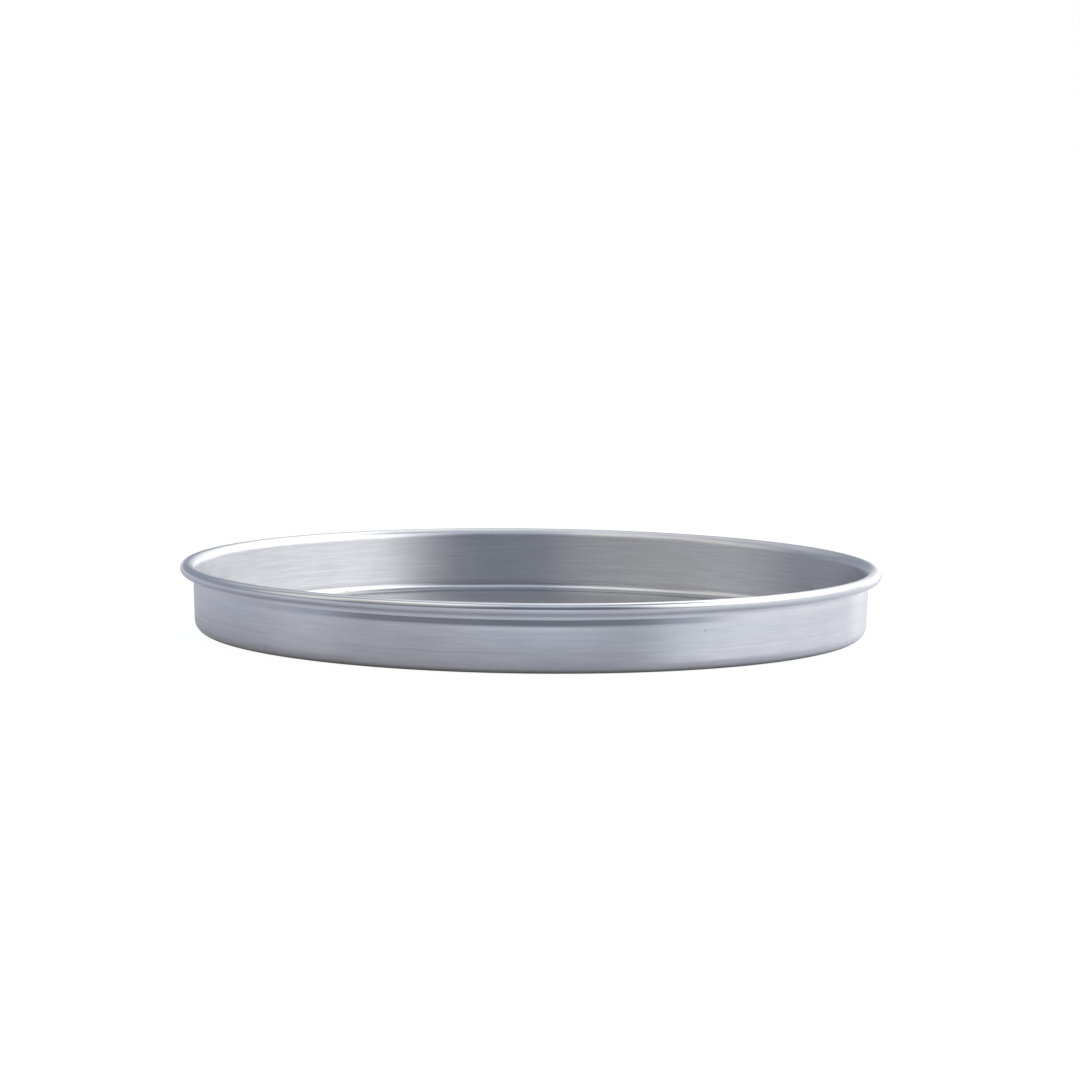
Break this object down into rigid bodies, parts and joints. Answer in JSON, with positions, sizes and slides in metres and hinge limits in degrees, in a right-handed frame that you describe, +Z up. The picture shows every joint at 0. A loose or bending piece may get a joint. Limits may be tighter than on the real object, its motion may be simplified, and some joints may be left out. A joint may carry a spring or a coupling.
{
  "type": "pizza pan",
  "caption": "Round, shallow pizza pan of bare aluminium with an almost upright wall and a rim rolled outward into a hollow bead over a steel wire.",
  "frame": {"origin": "middle of the flat underside, on the pan's axis", "axes": "+Z up along the pan's axis; the pan is round, and the ends of its rim wire meet on +X"},
  "size_m": [0.2666, 0.2666, 0.0259],
  "materials": {
    "pan_sheet": "bare spun aluminium, satin, with fine marks running round the axis",
    "wire": "galvanised, dull"
  },
  "bodies": {
    "root": {"pan": "pan_sheet", "rim_wire": "wire"}
  },
  "joints": []
}
